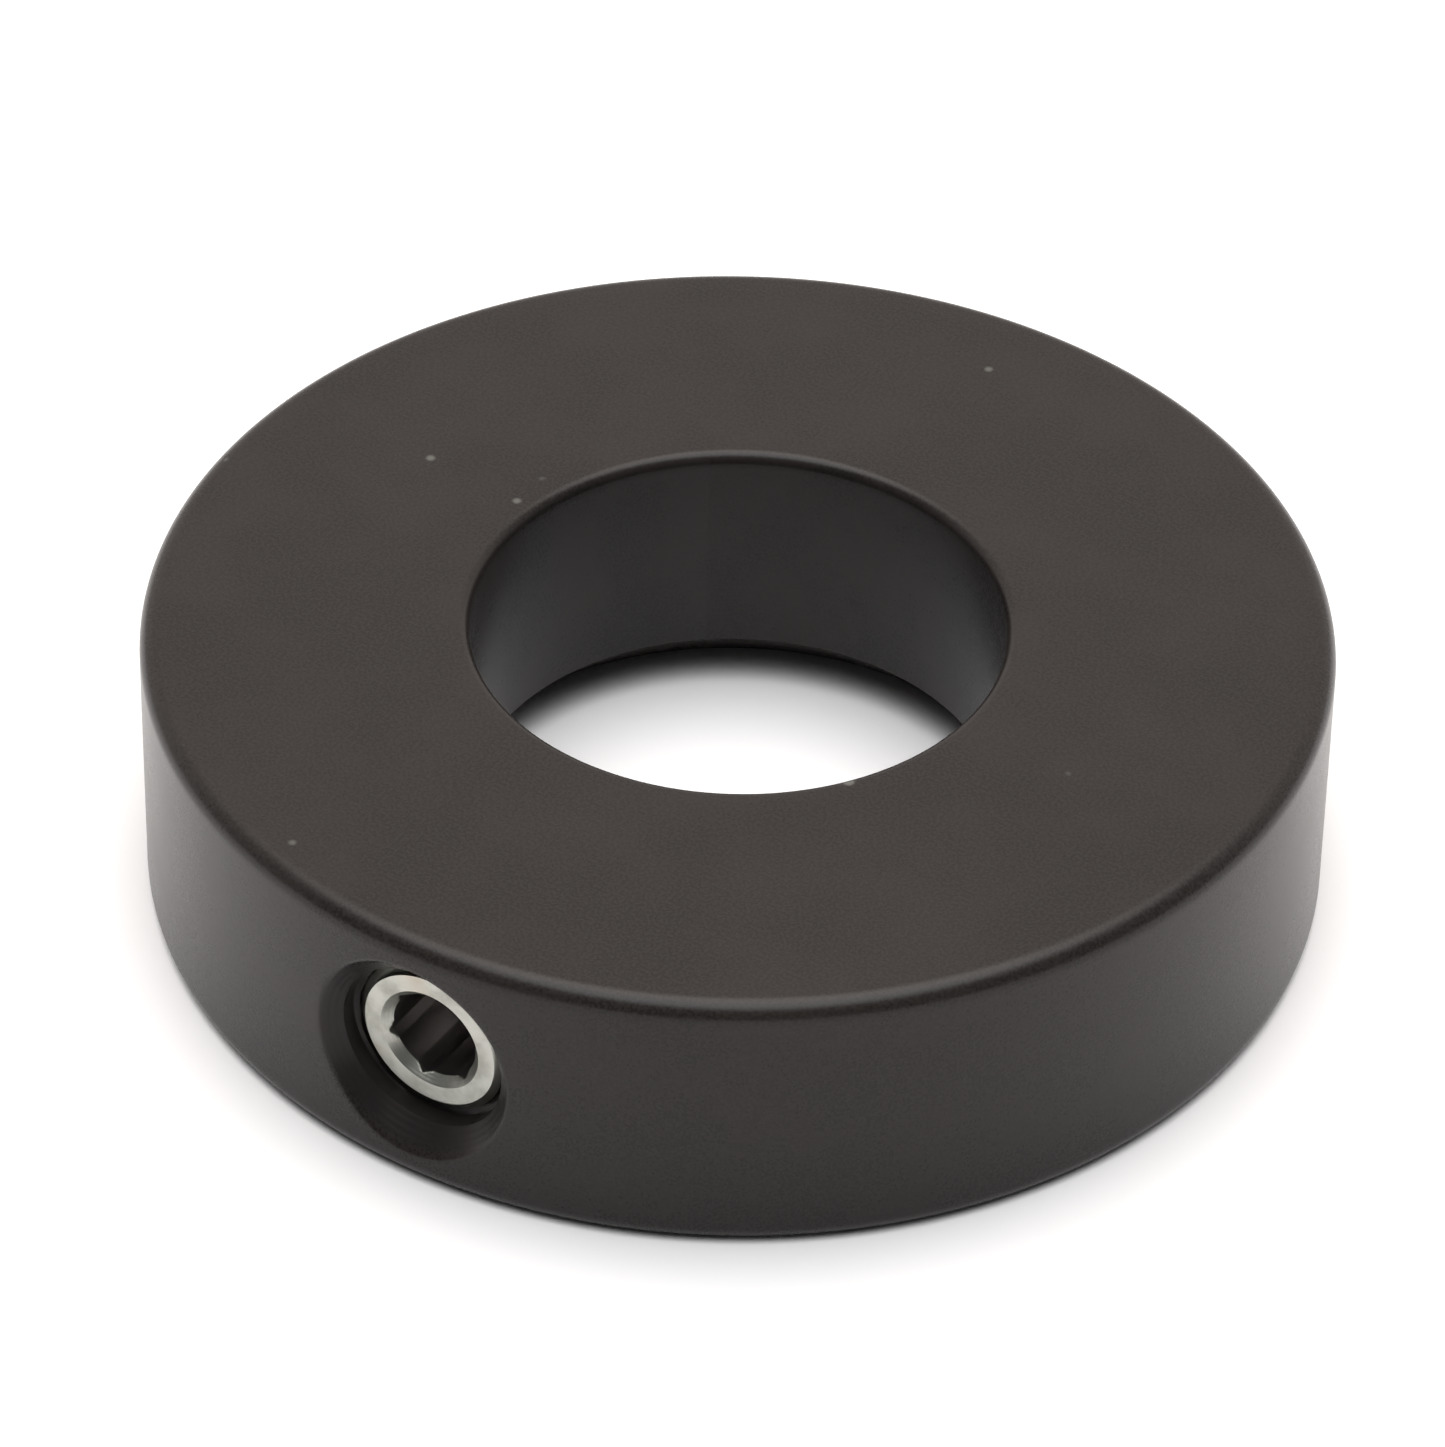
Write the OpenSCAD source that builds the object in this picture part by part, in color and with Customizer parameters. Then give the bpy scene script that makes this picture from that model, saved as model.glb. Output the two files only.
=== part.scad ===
// Solid shaft collar with one radial set screw.
//
// A one-piece ring slides over a round shaft and a socket set screw, driven
// through the ring's wall, bites the shaft to hold the collar in place.
//
// The bore's axis is +Z and the ring stands on z = 0. The set screw lies along
// -Y at half the ring's width. Everything is in millimetres.

/* [Ring] */
// Outside diameter
ring_od = 40; // [36:1:60]
// Bore, the nominal diameter of the shaft
bore_d = 18; // [10:1:20]
// Width along the shaft
ring_w = 10; // [9:0.5:20]
// Radius of the two outer rims
rim_r = 0.7; // [0.2:0.1:1]
// Radius of the upper mouth of the bore
mouth_round = 0.4; // [0.1:0.1:0.6]
// Lead-in chamfer at the lower mouth of the bore
lead_in = 2; // [0.2:0.1:2.4]

/* [Set screw] */
// Thread size, the outside diameter of the thread
screw_d = 6; // [5:1:6]
// Length over both ends
screw_len = 8; // [6:1:8]
// How far the socket end sits below the ring's outer surface
screw_sunk = 1.3; // [0.5:0.1:2]
// Socket size across its flats
hex_af = 3; // [2:0.5:3]
// Depth of the hexagon
hex_depth = 3.5; // [2:0.5:3.5]
// Diameter of the cup's biting edge
cup_d = 3; // [2:0.5:3]
// Chamfer at the socket end
end_chamfer = 0.5; // [0.2:0.1:0.6]

/* [Screw hole] */
// Gap between the thread's crests and the hole, on the radius
thread_gap = 0.05; // [0.02:0.01:0.1]
// Diameter of the hole's countersunk mouth, measured on the outer surface
mouth_d = 7.2; // [6.6:0.1:8]

/* [Node] */
// Which piece to draw

/* [Hidden] */
$fn = 96;

ring_r = ring_od / 2;
bore_r = bore_d / 2;
mid_z = ring_w / 2;

screw_r = screw_d / 2;
hole_r = screw_r + thread_gap;
mouth_r = mouth_d / 2;
// the countersink is a 90 degree cone, so it is as deep as it is wide
mouth_depth = mouth_r - hole_r;
// how far a flat disc as wide as the mouth sinks into the round outer surface
mouth_sag = ring_r - sqrt(pow(ring_r, 2) - pow(mouth_r, 2));

// distance of the screw's two ends from the bore's axis
socket_end = ring_r - screw_sunk;
tip_end = socket_end - screw_len;
cup_r = cup_d / 2;
// a 45 degree point runs from the thread down to the cup's edge
tip_h = screw_r - cup_r;
// the cup is hollowed to a 120 degree cone
cup_depth = cup_r * tan(30);
hex_r = hex_af / 2 / cos(30);
// depth of the cone that leads the key in
hex_lead = 0.3;
// how far the hexagon is turned about the screw
hex_turn = 17;
// the hole drilled before broaching is a little wider than the flats
drill_r = hex_af / 2 + 0.08;
drill_end = hex_depth + 0.3;
point_depth = drill_r * tan(30);
// overlap that keeps a cut from ending exactly on a face
cut = 1;

// Lays a piece drawn along +Z down along -Y, its z = 0 at the bore's axis.
module along_screw() {
    translate([0, 0, mid_z]) rotate([90, 0, 0]) children();
}

// Half section of the ring: rounded corners outside and at the bore's upper
// mouth, a chamfer at its lower one.
module ring_section() {
    polygon([
        [bore_r, lead_in],
        [bore_r + lead_in, 0],
        [ring_r - rim_r, 0],
        [ring_r - rim_r, ring_w],
        [bore_r + mouth_round, ring_w],
        [bore_r + mouth_round, ring_w - mouth_round],
        [bore_r, ring_w - mouth_round],
    ]);
    translate([bore_r + mouth_round, ring_w - mouth_round]) circle(r = mouth_round);
    translate([ring_r - rim_r, rim_r]) square([rim_r, ring_w - 2 * rim_r]);
    for (z = [rim_r, ring_w - rim_r])
        translate([ring_r - rim_r, z]) circle(r = rim_r);
}

// The clearance cut for the screw: a plain hole through one side of the wall
// and a countersink where it meets the outer surface.
module screw_hole() {
    cylinder(r = hole_r, h = ring_r + cut);
    cone_base = ring_r - mouth_sag - mouth_depth;
    translate([0, 0, cone_base])
        cylinder(r1 = hole_r, r2 = mouth_r + mouth_sag + cut, h = mouth_depth + mouth_sag + cut);
}

module collar_ring() {
    color([0.20, 0.19, 0.18])
    difference() {
        rotate_extrude() ring_section();
        along_screw() screw_hole();
    }
}

// The screw's outline: chamfered socket end, thread and cup point.
module screw_blank() {
    shank_h = screw_len - tip_h - end_chamfer;
    cylinder(r1 = cup_r, r2 = screw_r, h = tip_h);
    translate([0, 0, tip_h]) cylinder(r = screw_r, h = shank_h);
    translate([0, 0, tip_h + shank_h])
        cylinder(r1 = screw_r, r2 = screw_r - end_chamfer, h = end_chamfer);
}

// The key socket: a hole drilled deeper than the key goes, with a lead-in cone
// at its mouth and the drill's point at its end, and a hexagon broached in it.
module key_socket() {
    rotate_extrude() polygon([
        [0, cut],
        [0, -drill_end - point_depth],
        [drill_r, -drill_end],
        [drill_r, -hex_lead],
        [drill_r + hex_lead + cut, cut],
    ]);
    translate([0, 0, -hex_depth])
        rotate([0, 0, hex_turn]) cylinder(r = hex_r, h = hex_depth + cut, $fn = 6);
}

module set_screw() {
    color([0.78, 0.77, 0.74])
    along_screw() translate([0, 0, tip_end])
    difference() {
        screw_blank();
        translate([0, 0, screw_len]) key_socket();
        cylinder(r1 = cup_r, r2 = 0, h = cup_depth);
    }
}

collar_ring();
set_screw();
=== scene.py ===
from math import cos, pi, radians, sin, sqrt

import bmesh
import bpy
import numpy as np
from mathutils import Matrix


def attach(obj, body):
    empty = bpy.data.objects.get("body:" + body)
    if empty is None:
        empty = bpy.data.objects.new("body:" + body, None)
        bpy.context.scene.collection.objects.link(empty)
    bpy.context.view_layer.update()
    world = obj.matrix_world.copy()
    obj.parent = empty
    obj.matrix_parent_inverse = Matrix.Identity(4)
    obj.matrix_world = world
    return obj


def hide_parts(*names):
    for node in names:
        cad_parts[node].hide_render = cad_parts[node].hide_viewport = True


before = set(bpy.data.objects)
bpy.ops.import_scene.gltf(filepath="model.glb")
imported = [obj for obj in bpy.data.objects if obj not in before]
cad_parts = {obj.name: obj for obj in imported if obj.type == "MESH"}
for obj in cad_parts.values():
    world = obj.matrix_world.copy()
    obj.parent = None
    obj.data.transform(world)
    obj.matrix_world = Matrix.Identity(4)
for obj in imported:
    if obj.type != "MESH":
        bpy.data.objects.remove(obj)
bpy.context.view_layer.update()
scene = bpy.context.scene

# ---------------------------------------------------------------- camera
# A long lens looks down on the collar from the front, turned so that the set
# screw shows at the lower left. Distances are in metres.

MM = 0.001
ring_height = 10 * MM
view_turn, view_height, view_roll = radians(31.35), radians(38.955), radians(1.075)
view_distance = 0.2671
lens_mm, sensor_mm = 198.84, 36.0
# how far the lens's axis passes from the middle of the upper face
aim_right, aim_up = -0.533 * MM, -3.531 * MM

toward = np.array([
    sin(view_turn) * cos(view_height),
    -cos(view_turn) * cos(view_height),
    sin(view_height),
])
level = np.array([cos(view_turn), sin(view_turn), 0.0])
upright = np.cross(toward, level)
cam_right = cos(view_roll) * level + sin(view_roll) * upright
cam_up = cos(view_roll) * upright - sin(view_roll) * level
cam_place = view_distance * toward + aim_right * cam_right + aim_up * cam_up + [0, 0, ring_height]

camera = bpy.data.objects.new("camera", bpy.data.cameras.new("camera"))
camera.data.lens, camera.data.sensor_width = lens_mm, sensor_mm
camera.data.clip_start, camera.data.clip_end = 0.01, 20.0
matrix = np.eye(4)
matrix[:3, :] = np.stack([cam_right, cam_up, toward, cam_place], 1)
camera.matrix_world = Matrix(matrix.tolist())
scene.collection.objects.link(camera)
scene.camera = camera
scene.view_settings.view_transform = "Standard"

# ---------------------------------------------------------------- collar ring
# The ring is turned from aluminium bar, drilled and tapped M6 through one side
# of its wall, then blasted and anodised black. Its outer rims and upper bore
# edge are rounded, and the bore's lower mouth has a long lead-in chamfer.

ring_r, bore_r, ring_w = 20.0, 9.0, 10.0
rim_round, bore_round, lead_in = 0.7, 0.4, 2.0
mid_z = ring_w / 2
turns = 360


def arc(centre, radius, start, stop, steps):
    """Points at centre + radius * (cos a, sin a), a running evenly from start to stop degrees."""
    a = np.radians(np.linspace(start, stop, steps + 1))
    return np.stack([centre[0] + radius * np.cos(a), centre[1] + radius * np.sin(a)], 1)


def line(start, stop, steps):
    """Evenly spaced points from start to stop, both ends included."""
    return np.linspace(start, stop, steps + 1)


def grid_faces(rows, columns, keep=None):
    """Quads between neighbouring rows and columns of a grid whose columns close on themselves."""
    i, j = np.meshgrid(np.arange(rows - 1), np.arange(columns), indexing="ij")
    if keep is not None:
        i, j = i[keep], j[keep]
    after = (j + 1) % columns
    quads = [i * columns + j, i * columns + after, (i + 1) * columns + after, (i + 1) * columns + j]
    return np.stack([q.ravel() for q in quads], 1)


def join(name, patches, sharp_angle=30):
    """One mesh from (points in mm, quads) patches, welded where they share points, in metres."""
    points, quads, start = [], [], 0
    for p, q in patches:
        p = np.asarray(p, float).reshape(-1, 3)
        points.append(p)
        quads.append(q + start)
        start += len(p)
    mesh = bpy.data.meshes.new(name)
    mesh.from_pydata(np.concatenate(points) * MM, [], np.concatenate(quads).tolist())
    work = bmesh.new()
    work.from_mesh(mesh)
    bmesh.ops.remove_doubles(work, verts=work.verts, dist=2e-7)
    bmesh.ops.delete(work, geom=[v for v in work.verts if not v.link_faces], context="VERTS")
    bmesh.ops.recalc_face_normals(work, faces=work.faces)
    work.to_mesh(mesh)
    work.free()
    mesh.shade_smooth()
    mesh.set_sharp_from_angle(angle=radians(sharp_angle))
    piece = bpy.data.objects.new(name, mesh)
    scene.collection.objects.link(piece)
    return piece


# the half section, counter-clockwise from the inner end of the lower face
wall_steps, bore_steps = 46, 32
section = [
    line((bore_r + lead_in, 0), (ring_r - rim_round, 0), 10)[:-1],
    arc((ring_r - rim_round, rim_round), rim_round, -90, 0, 10)[:-1],
    line((ring_r, rim_round), (ring_r, ring_w - rim_round), wall_steps)[:-1],
    arc((ring_r - rim_round, ring_w - rim_round), rim_round, 0, 90, 10)[:-1],
    line((ring_r - rim_round, ring_w), (bore_r + bore_round, ring_w), 12)[:-1],
    arc((bore_r + bore_round, ring_w - bore_round), bore_round, 90, 180, 8)[:-1],
    line((bore_r, ring_w - bore_round), (bore_r, lead_in), bore_steps)[:-1],
    line((bore_r, lead_in), (bore_r + lead_in, 0), 5),
]
wall_start = len(section[0]) + len(section[1])
bore_start = sum(len(part) for part in section[:6])
profile = np.concatenate(section)

# columns of the lathe, counted from the screw hole at -Y
turn = 2 * pi * np.arange(turns) / turns
lathe = np.stack([
    profile[:, :1] * np.sin(turn),
    -profile[:, :1] * np.cos(turn),
    np.repeat(profile[:, 1:], turns, 1),
], 2)

# half widths, in columns, of the windows left open round the hole's two ends
wall_half, bore_half = 14, 21
row, column = np.meshgrid(np.arange(len(profile) - 1), np.arange(turns), indexing="ij")
column = (column + turns // 2) % turns - turns // 2
in_wall = (row >= wall_start) & (row < wall_start + wall_steps)
in_wall &= (column >= -wall_half) & (column < wall_half)
in_bore = (row >= bore_start) & (row < bore_start + bore_steps)
in_bore &= (column >= -bore_half) & (column < bore_half)
patches = [(lathe, grid_faces(len(profile), turns, ~(in_wall | in_bore)))]


def window(half, low, high, steps):
    """The window's border as (turn, height) pairs, anticlockwise from the middle of its right side."""
    side = 2 * pi * half / turns
    right = line((side, low), (side, high), steps)[:-1]
    top = line((side, high), (-side, high), 2 * half)[:-1]
    left = line((-side, high), (-side, low), steps)[:-1]
    bottom = line((-side, low), (side, low), 2 * half)[:-1]
    border = np.concatenate([right, top, left, bottom])
    return np.roll(border, -(steps // 2), axis=0)


# the thread, M6 with a 1 mm pitch: the screw's crest and root radius, the tapped
# hole's inner radius, and the play between the two threads
pitch, screw_r, root_r = 1.0, 3.0, 2.39
tap_r, thread_gap = 2.56, 0.05
crest_flat = pitch / 16
flank = sqrt(3.0)
socket_end, screw_len = 18.7, 8.0


def thread_radius(turns_round, low, high, gap=0.0):
    """Radius of a 60 degree thread: highest where turns_round is whole, falling along straight flanks."""
    off_crest = np.abs(turns_round - np.round(turns_round)) * pitch
    return np.clip(screw_r + 2 * gap - flank * (off_crest - crest_flat), low, high)


# the countersink is a 90 degree cone, 7.2 mm wide where the outer surface is lowest
mouth_r, hole_r, lip = 3.6, screw_r + thread_gap, 0.10
# how far out the outer surface stands, mouth_r to the side of the hole's axis
mouth_depth = sqrt(ring_r**2 - mouth_r**2)
# where the thread starts and ends, and the wider exit it runs out into
relief_end, thread_bottom, bore_exit_r = 18.55, 9.35, 2.75
row_gap, plain_length = 0.05, 0.15


def on_barrel(radius, x):
    """Distance along -Y at which a barrel of that radius stands over x."""
    return np.sqrt(radius**2 - x**2)


def place(x, s, z):
    """Points from x, distance s out along -Y, and height z above mid-width."""
    return np.stack(np.broadcast_arrays(x, -s, mid_z + z), -1)


wall_border = window(wall_half, rim_round, ring_w - rim_round, wall_steps)
bore_border = window(bore_half, lead_in, ring_w - bore_round, bore_steps)
wall_angle = np.unwrap(np.arctan2(wall_border[:, 1] - mid_z, ring_r * np.sin(wall_border[:, 0])))
bore_angle = np.unwrap(np.arctan2(bore_border[:, 1] - mid_z, bore_r * np.sin(bore_border[:, 0])))

# where the cone meets the outer barrel, found by stepping the radius outwards
rim = np.full(len(wall_angle), mouth_r)
for _ in range(30):
    rim = mouth_r + on_barrel(ring_r, rim * np.cos(wall_angle)) - mouth_depth

# the window in the outer wall, from its border in to the hole's lip
lip_out = np.stack([
    np.arcsin((rim + lip) * np.cos(wall_angle) / ring_r),
    mid_z + (rim + lip) * np.sin(wall_angle),
], 1)
share = np.linspace(0, 1, 9)[:, None, None]
sheet = wall_border + share * (lip_out - wall_border)
sheet = np.stack([ring_r * np.sin(sheet[..., 0]), -ring_r * np.cos(sheet[..., 0]), sheet[..., 1]], 2)
patches.append((sheet, grid_faces(len(sheet), len(rim))))

# the hole itself, as rows of (radius, distance out) going inwards
tube = []
corner_r, corner_s = rim, on_barrel(ring_r, rim * np.cos(wall_angle))
outer_r = rim + lip
outer_s = on_barrel(ring_r, outer_r * np.cos(wall_angle))
inner_r, inner_s = rim - lip, corner_s - lip
for t in np.linspace(0, 1, 6):
    a, b, c = (1 - t) ** 2, 2 * t * (1 - t), t**2
    bend_r = a * outer_r + b * corner_r + c * inner_r
    bend_s = a * outer_s + b * corner_s + c * inner_s
    tube.append((bend_r, bend_s, wall_angle))
cone_end = mouth_depth - (mouth_r - hole_r)
for t in np.linspace(0, 1, 9)[1:]:
    tube.append((inner_r + t * (hole_r - inner_r), inner_s + t * (cone_end - inner_s), wall_angle))
tube.append((hole_r + 0 * rim, cone_end - plain_length + 0 * rim, wall_angle))
for s in np.arange(relief_end, thread_bottom, -row_gap):
    t = (relief_end - s) / (relief_end - thread_bottom)
    angle = (1 - t) * wall_angle + t * bore_angle
    climbed = (s - socket_end) / pitch - angle / (2 * pi)
    radius = thread_radius(climbed, tap_r, hole_r + 0.01, thread_gap)
    lead = np.clip(hole_r - (relief_end - s), tap_r, hole_r)
    run_out = np.clip(bore_exit_r - (s - thread_bottom), tap_r, bore_exit_r)
    tube.append((np.maximum(np.maximum(radius, lead), run_out), s + 0 * rim, angle))
exit_s = on_barrel(bore_r, bore_exit_r * np.cos(bore_angle))
tube.append((bore_exit_r + 0 * rim, 0.5 * (thread_bottom + exit_s), bore_angle))
tube.append((bore_exit_r + 0 * rim, exit_s, bore_angle))
walls = np.stack([place(r * np.cos(a), s, r * np.sin(a)) for r, s, a in tube])
patches.append((walls, grid_faces(len(walls), len(rim))))

# the window in the bore's wall, from the hole out to its border
exit_edge = np.stack([
    np.arcsin(bore_exit_r * np.cos(bore_angle) / bore_r),
    mid_z + bore_exit_r * np.sin(bore_angle),
], 1)
sheet = exit_edge + np.linspace(0, 1, 4)[:, None, None] * (bore_border - exit_edge)
sheet = np.stack([bore_r * np.sin(sheet[..., 0]), -bore_r * np.cos(sheet[..., 0]), sheet[..., 1]], 2)
patches.append((sheet, grid_faces(len(sheet), len(rim))))

ring = join("collar_ring_anodised", patches)


class Field:
    """A number or colour that changes over a surface: a node's output that takes part in sums."""

    def __init__(self, shade, socket):
        self.shade, self.socket = shade, socket

    def sum(self, operation, a, b=0.0):
        """One step of arithmetic on a and b, each a number or a Field."""
        return self.shade.node("Math", {"operation": operation}, {0: a, 1: b})

    def __add__(self, other):
        return self.sum("ADD", self, other)

    def __sub__(self, other):
        return self.sum("SUBTRACT", self, other)

    def __mul__(self, other):
        return self.sum("MULTIPLY", self, other)

    def __pow__(self, other):
        return self.sum("POWER", self, other)

    def between(self, low, high):
        """0 below low, 1 above high, rising smoothly; the other way round when low is above high."""
        kind = {"interpolation_type": "SMOOTHSTEP"}
        a, b, lo, hi = (low, high, 0.0, 1.0) if low < high else (high, low, 1.0, 0.0)
        return self.shade.node("MapRange", kind, {0: self, 1: a, 2: b, 3: lo, 4: hi})


class Shade:
    """A node tree, emptied, to which nodes are added one call at a time."""

    def __init__(self, owner):
        owner.use_nodes = True
        self.tree = owner.node_tree
        self.tree.nodes.clear()

    def node(self, kind, settings=None, inputs=None, out=0):
        """A new node with its settings and inputs set, as the Field of one of its outputs."""
        made = self.tree.nodes.new("ShaderNode" + kind)
        for key, value in (settings or {}).items():
            setattr(made, key, value)
        for key, value in (inputs or {}).items():
            if isinstance(value, Field):
                self.tree.links.new(value.socket, made.inputs[key])
            else:
                made.inputs[key].default_value = value
        return Field(self, made.outputs[out])

    def mix(self, factor, a, b):
        """Colour a where factor is 0, colour b where it is 1."""
        return self.node("Mix", {"data_type": "RGBA"}, {0: factor, 6: a, 7: b}, out=2)

    def show(self, shader, output="OutputMaterial"):
        """Joins the finished shader to the tree's output."""
        made = self.tree.nodes.new("ShaderNode" + output)
        self.tree.links.new(shader.socket, made.inputs["Surface"])

    def parts(self, vector):
        """The X, Y and Z of a vector, as three numbers."""
        split = self.node("SeparateXYZ", {}, {0: vector}).socket.node
        return [Field(self, split.outputs[i]) for i in range(3)]


# black dye under a hard clear oxide: a dark base with a satin, mineral gloss
black = bpy.data.materials.new("black_anodised")
s = Shade(black)
spot = s.node("TexCoord", {}, {}, out=3)
x, y, z = s.parts(spot)
cloud = s.node("TexNoise", {}, {"Vector": spot, "Scale": 260.0, "Detail": 3.0, "Roughness": 0.6})
fine = s.node("TexNoise", {}, {"Vector": spot, "Scale": 9000.0, "Detail": 2.0, "Roughness": 0.5})
grain = s.node("TexNoise", {}, {"Vector": spot, "Scale": 3500.0, "Detail": 3.0, "Roughness": 0.65})
# distances from the screw's axis and the bore's, the first for the tool's rings
# in the countersink
from_screw = s.node("Math", {"operation": "SQRT"}, {0: x * x + (z - mid_z * MM) ** 2.0})
from_axis = s.node("Math", {"operation": "SQRT"}, {0: x * x + y * y})
in_hole = from_screw.between(3.9 * MM, 3.45 * MM) * y.between(-15 * MM, -16 * MM)
tool = s.node("Math", {"operation": "SINE"}, {0: from_screw * (2 * pi / (0.17 * MM))})
height = grain * 0.55 + fine * 0.45 + in_hole * tool * 0.35
bump = s.node("Bump", {}, {"Strength": 0.22, "Distance": 0.02 * MM, "Height": height})
dye = s.mix(cloud.between(0.35, 0.7), (0.0140, 0.0117, 0.0109, 1), (0.0175, 0.0147, 0.0136, 1))
dye = s.mix(fine.between(0.40, 0.62) * 0.45, dye, (0.030, 0.0265, 0.0250, 1))
# dust that has settled on the upper face, in a few of many small cells
cells = {"Vector": spot, "Scale": 520.0, "Randomness": 1.0}
cell = s.node("TexVoronoi", {}, cells, out=0)
pick = s.parts(s.node("TexVoronoi", {}, cells, out=1))[0]
on_top = z.between((ring_w - 0.05) * MM, (ring_w - 0.02) * MM)
dust = cell.between(0.13, 0.06) * pick.between(0.87, 0.88) * on_top
dye = s.mix(dust * 0.6, dye, (0.16, 0.16, 0.145, 1))
# a faint pale band up the bore's wall, with one crisp edge
band_turn = radians(38.75)
beside_band = x * cos(band_turn) + y * sin(band_turn)
towards_band = y * cos(band_turn) - x * sin(band_turn)
on_far_wall = towards_band.between(8.8 * MM, 8.9 * MM) * from_axis.between(9.1 * MM, 9.05 * MM)
pale_band = beside_band.between(-2.2 * MM, -0.1 * MM) * beside_band.between(0.12 * MM, 0.0)
dye = s.mix(on_far_wall * pale_band * 0.45, dye, (0.034, 0.032, 0.031, 1))
skin = s.node("BsdfPrincipled", {}, {
    "Base Color": dye,
    "Roughness": cloud * 0.06 + fine * 0.05 + 0.225,
    "IOR": 1.30,
    "Normal": bump,
})
# the countersink and the hole were cut last and took the dye dull and dark
dull = s.mix(cloud.between(0.4, 0.6), (0.0125, 0.0112, 0.0108, 1), (0.0190, 0.0160, 0.0150, 1))
cut = s.node("BsdfPrincipled", {}, {
    "Base Color": dull,
    "Roughness": 0.38,
    "IOR": 1.30,
    "Normal": bump,
})
in_bore = from_axis.between(9.15 * MM, 9.05 * MM)
s.show(s.node("MixShader", {}, {0: in_hole + in_bore * 0.55, 1: skin, 2: cut}))
ring.data.materials.append(black)
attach(ring, "collar")
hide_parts("collar_ring")

# ---------------------------------------------------------------- set screw
# A stainless M6 set screw, 8 mm long, with a cup point and a 3 mm hexagon socket
# that is drilled and then broached. A 90 degree cone leads the key in.

tip = socket_end - screw_len
face_r, cup_r, edge_flat = 2.5, 1.5, 0.05
hex_half, hex_turn, hex_depth = 1.5, radians(17), 3.5
drill_r, drill_end, lead_depth = 1.58, 3.8, 0.3
around = 192
phi = hex_turn + 2 * pi * np.arange(around) / around


def rows_to_patch(rows):
    """Rows of (radius, distance out) round the screw's axis, as a patch of points and quads."""
    grid = np.stack([place(r * np.cos(phi), s + 0 * phi, r * np.sin(phi)) for r, s in rows])
    return grid, grid_faces(len(rows), around)


# the thread's rows climb with the helix, so each crest is one clean ridge
per_turn = 16
climb = np.arange(tip - pitch, socket_end + pitch / per_turn, pitch / per_turn)
phi_closed = np.append(phi, phi[0] + 2 * pi)
along = climb[:, None] + pitch * (phi_closed - phi[0]) / (2 * pi)
along = np.clip(along, tip, socket_end)
radius = thread_radius((along - socket_end) / pitch - phi_closed / (2 * pi), root_r, screw_r)
# the groove fills up towards the socket end, so that the end face is a full disc
fill_start, fill_length = 0.45, 0.2
near_face = np.clip((along - (socket_end - fill_start)) / fill_length, 0, 1)
radius = np.maximum(radius, root_r + (face_r - root_r) * near_face)
radius = np.minimum(radius, face_r + (socket_end - along))
radius = np.minimum(radius, cup_r + edge_flat + (along - tip))
side = place(radius * np.cos(phi_closed), along, radius * np.sin(phi_closed))
i, j = np.meshgrid(np.arange(len(climb) - 1), np.arange(around), indexing="ij")
wide = around + 1
corner = i * wide + j
corners = (corner, corner + 1, corner + wide + 1, corner + wide)
side_faces = np.stack([q.ravel() for q in corners], 1)

# radius of the hexagon in each direction, and the rows from the face inwards
hexagon = hex_half / np.cos(np.mod(phi - hex_turn, pi / 3) - pi / 6)
# the hole drilled before broaching is a little wider than the flats
socket = np.maximum(hexagon, drill_r)
lead_r = drill_r + lead_depth
head = [(r + 0 * phi, socket_end) for r in np.linspace(face_r, lead_r, 6)]
head += [(np.maximum(lead_r - d, socket), socket_end - d) for d in np.linspace(0, lead_depth, 9)[1:]]
head += [(socket, socket_end - d) for d in np.linspace(lead_depth, hex_depth, 9)[1:]]
drill_point = drill_r * np.tan(pi / 6)
head += [(drill_r + 0 * phi, socket_end - d) for d in (hex_depth, drill_end)]
head += [(t * drill_r + 0 * phi, socket_end - drill_end - (1 - t) * drill_point) for t in (0.5, 0.0)]
cup_rim = cup_r + edge_flat
cup_depth = cup_r * np.tan(pi / 6)
cup = [(cup_rim + 0 * phi, tip)]
cup += [(t * (cup_r - edge_flat) + 0 * phi, tip + (1 - t) * cup_depth) for t in (1.0, 0.66, 0.33, 0.0)]
screw = join("set_screw_steel", [(side, side_faces), rows_to_patch(head), rows_to_patch(cup)], 25)

# bright machined stainless: fine rings on the end face, a little grime, and painted shade down inside the
# socket
steel = bpy.data.materials.new("stainless_steel")
s = Shade(steel)
spot = s.node("TexCoord", {}, {}, out=3)
x, y, z = s.parts(spot)
from_screw = s.node("Math", {"operation": "SQRT"}, {0: x * x + (z - mid_z * MM) ** 2.0})
rings = s.node("Math", {"operation": "SINE"}, {0: from_screw * (2 * pi / (0.09 * MM))})
smear = s.node("TexNoise", {}, {"Vector": spot, "Scale": 900.0, "Detail": 4.0, "Roughness": 0.6})
grit = s.node("TexNoise", {}, {"Vector": spot, "Scale": 7000.0, "Detail": 2.0, "Roughness": 0.5})
bump = s.node("Bump", {}, {"Strength": 0.25, "Distance": 0.01 * MM, "Height": rings * 0.3 + grit * 0.7})
metal = s.mix(smear.between(0.4, 0.72), (0.46, 0.465, 0.425, 1), (0.32, 0.32, 0.285, 1))
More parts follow.
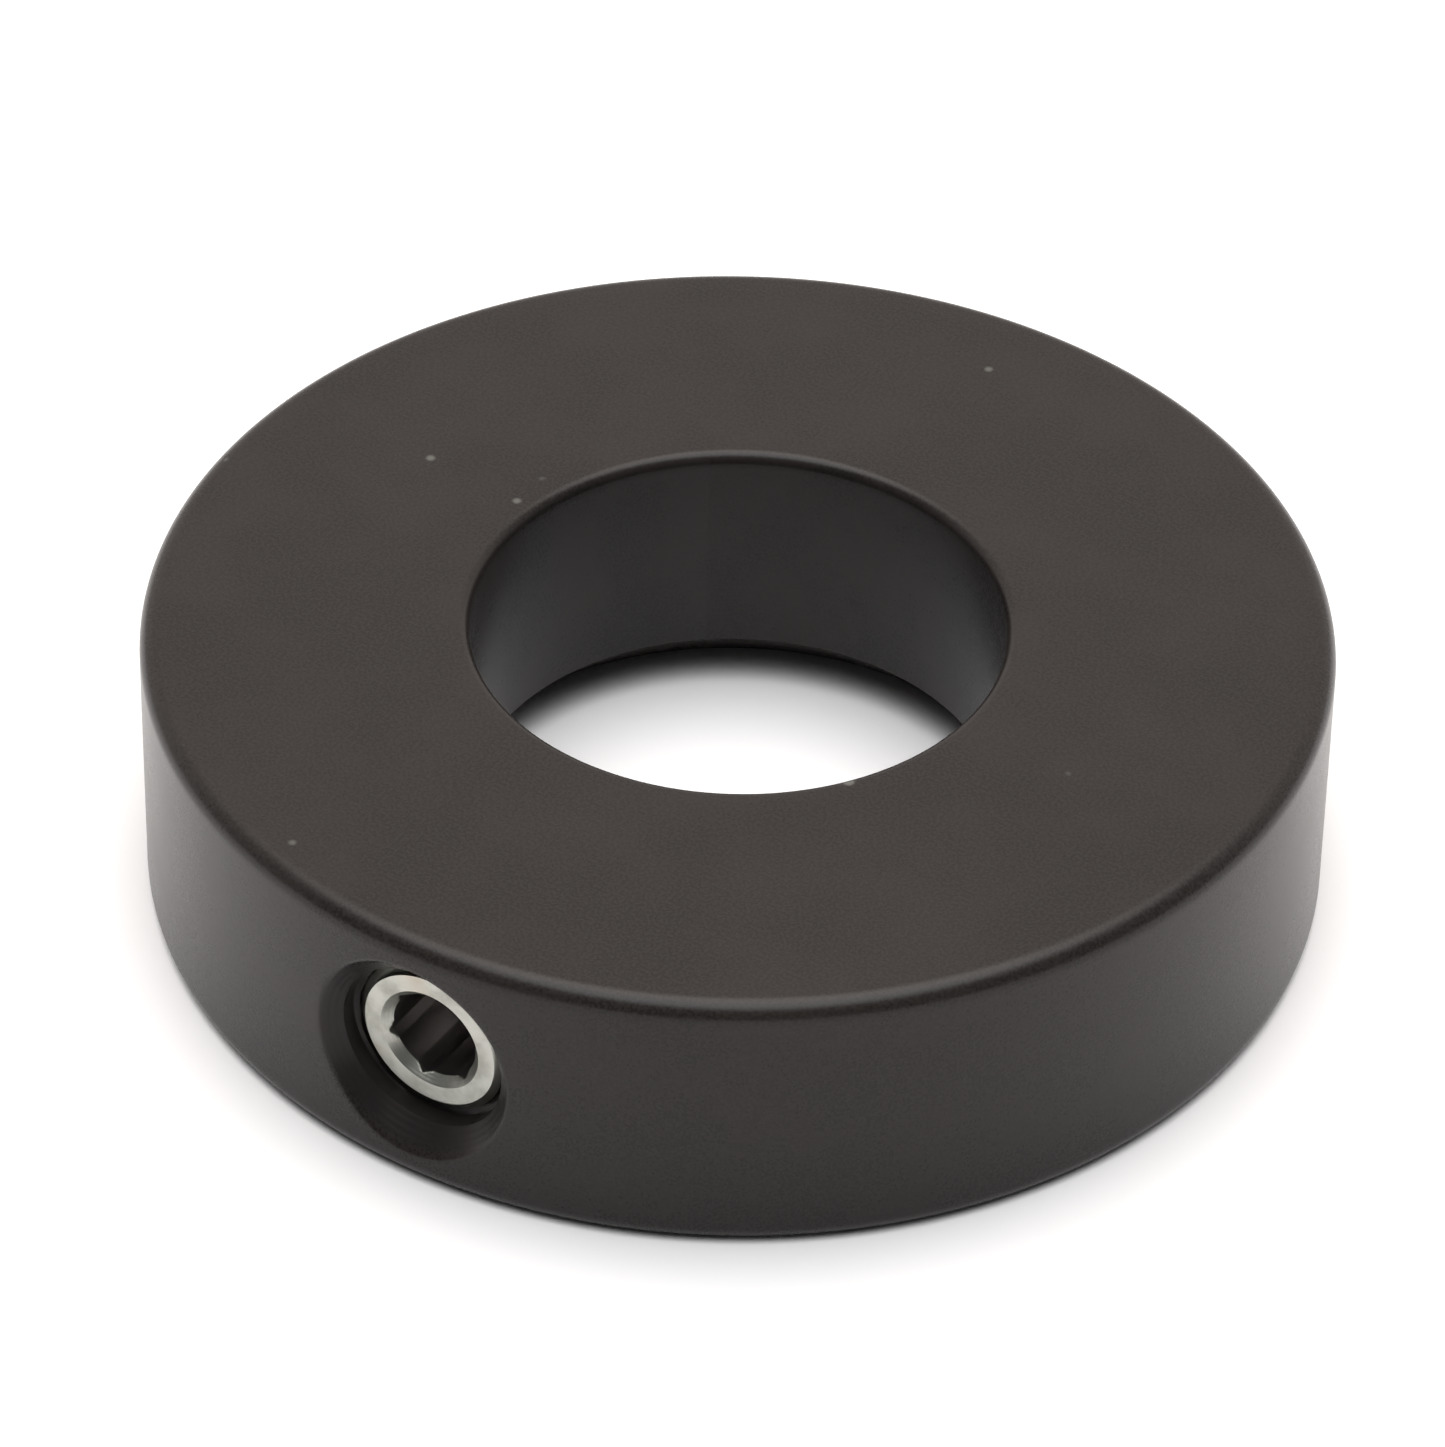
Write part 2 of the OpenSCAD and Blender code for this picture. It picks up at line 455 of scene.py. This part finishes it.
stain = s.node("TexNoise", {}, {"Vector": spot, "Scale": 420.0, "Detail": 2.0, "Roughness": 0.5})
metal = s.mix(stain.between(0.55, 0.70) * 0.5, metal, (0.40, 0.33, 0.26, 1))
# painted shade: below its lead-in cone the socket is coloured darker, standing in for the shade inside
# the recess
lead_start = (lead_depth - socket_end) * MM
socket_painted_shade = from_screw.between(1.80 * MM, 1.74 * MM) * y.between(lead_start, lead_start + 0.08 * MM)
metal = s.mix(socket_painted_shade, metal, (0.31, 0.295, 0.29, 1))
skin = s.node("BsdfPrincipled", {}, {
    "Base Color": metal,
    "Metallic": 1.0,
    "Roughness": smear * 0.18 + 0.27,
    "Normal": bump,
})
s.show(skin)
screw.data.materials.append(steel)
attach(screw, "screw")
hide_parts("set_screw")

# ---------------------------------------------------------------- floor and light
# A plain pale table under an open studio tent: brightest overhead, softer
# behind, and dark towards the camera, where the tent has its opening.

floor_mesh = bpy.data.meshes.new("floor")
half = 1.5
floor_corners = [(-half, -half, 0), (half, -half, 0), (half, half, 0), (-half, half, 0)]
floor_mesh.from_pydata(floor_corners, [], [(0, 1, 2, 3)])
floor = bpy.data.objects.new("floor", floor_mesh)
scene.collection.objects.link(floor)
paper = bpy.data.materials.new("white_paper")
s = Shade(paper)
s.show(s.node("BsdfPrincipled", {}, {"Base Color": (0.92, 0.92, 0.92, 1), "Roughness": 0.9}))
floor_mesh.materials.append(paper)

world = bpy.data.worlds.new("studio")
scene.world = world
s = Shade(world)
direction = s.node("TexCoord", {}, {}, out=0)
x, y, z = s.parts(direction)
ahead = x * sin(view_turn) - y * cos(view_turn)
overhead = z.between(0.72, 0.98)
behind = ahead.between(0.25, -0.65) * z.between(-0.05, 0.15)
light = overhead * 4.6 + behind * 0.87 + 0.06
tint = s.mix(behind, (1.0, 1.0, 1.01, 1), (1.09, 1.0, 0.94, 1))
tent = s.node("Background", {}, {"Color": tint, "Strength": light})
backdrop = s.node("Background", {}, {"Color": (0.93, 0.93, 0.93, 1), "Strength": 1.0})
seen = s.node("LightPath", {}, {}, out=0)
s.show(s.node("MixShader", {}, {0: seen, 1: tent, 2: backdrop}), "OutputWorld")
